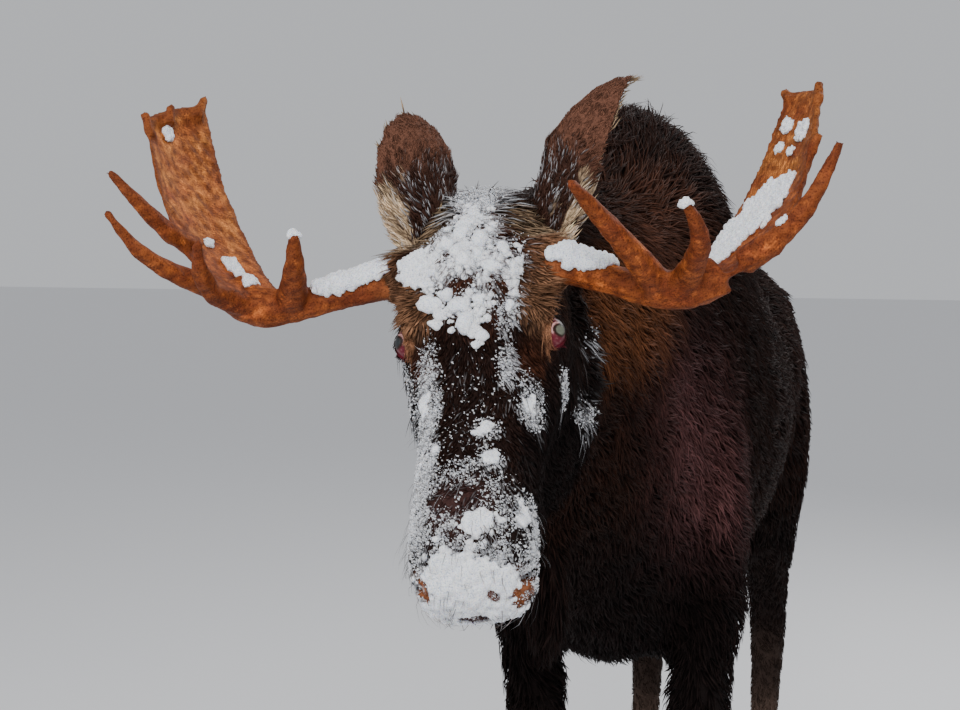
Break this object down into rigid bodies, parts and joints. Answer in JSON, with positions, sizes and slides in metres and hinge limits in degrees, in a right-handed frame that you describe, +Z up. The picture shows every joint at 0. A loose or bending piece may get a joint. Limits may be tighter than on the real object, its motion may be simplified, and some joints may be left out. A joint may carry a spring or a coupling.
{
  "type": "moose",
  "caption": "Life-size young bull moose standing with its head lowered and turned, with small palmate antlers, a hanging bell, long legs and cloven hooves, in a long winter coat.",
  "frame": {"origin": "middle of the model's bounding box, on the ground under the hooves", "axes": "+Z up, the moose faces -Y, its left side is +X"},
  "size_m": [0.9736, 2.6506, 1.9498],
  "materials": {
    "coat": "long brown winter hair",
    "face": "short dark brown hair with snow on it",
    "leg": "short grey-brown hair",
    "horn": "worn dark horn",
    "antler": "orange-brown grained antler",
    "eye": "wet dark eye"
  },
  "bodies": {
    "root": {"head": "face", "neck": "coat", "bell": "coat", "trunk_shoulders": "coat", "trunk_barrel": "coat", "trunk_rump": "coat", "tail": "coat", "ear_left": "coat", "ear_right": "coat", "eye_left": "eye", "eye_right": "eye", "foreleg_left_arm": "coat", "foreleg_left_forearm": "leg", "foreleg_left_cannon": "leg", "foreleg_left_foot": "leg", "hindleg_left_thigh": "coat", "hindleg_left_gaskin": "leg", "hindleg_left_cannon": "leg", "hindleg_left_foot": "leg", "foreleg_right_arm": "coat", "foreleg_right_forearm": "leg", "foreleg_right_cannon": "leg", "foreleg_right_foot": "leg", "hindleg_right_thigh": "coat", "hindleg_right_gaskin": "leg", "hindleg_right_cannon": "leg", "hindleg_right_foot": "leg", "hoof_foreleg_left_outer": "horn", "dewclaw_foreleg_left_outer": "horn", "hoof_foreleg_left_inner": "horn", "dewclaw_foreleg_left_inner": "horn", "hoof_foreleg_right_outer": "horn", "dewclaw_foreleg_right_outer": "horn", "hoof_foreleg_right_inner": "horn", "dewclaw_foreleg_right_inner": "horn", "hoof_hindleg_left_outer": "horn", "dewclaw_hindleg_left_outer": "horn", "hoof_hindleg_left_inner": "horn", "dewclaw_hindleg_left_inner": "horn", "hoof_hindleg_right_outer": "horn", "dewclaw_hindleg_right_outer": "horn", "hoof_hindleg_right_inner": "horn", "dewclaw_hindleg_right_inner": "horn", "antler_left_beam": "antler", "antler_left_brow_inner": "antler", "antler_left_brow_outer": "antler", "antler_left_palm": "antler", "antler_left_tine_upper": "antler", "antler_right_beam": "antler", "antler_right_brow_inner": "antler", "antler_right_brow_outer": "antler", "antler_right_palm": "antler", "antler_right_tine_upper": "antler", "antler_right_tine_lower": "antler"}
  },
  "joints": []
}
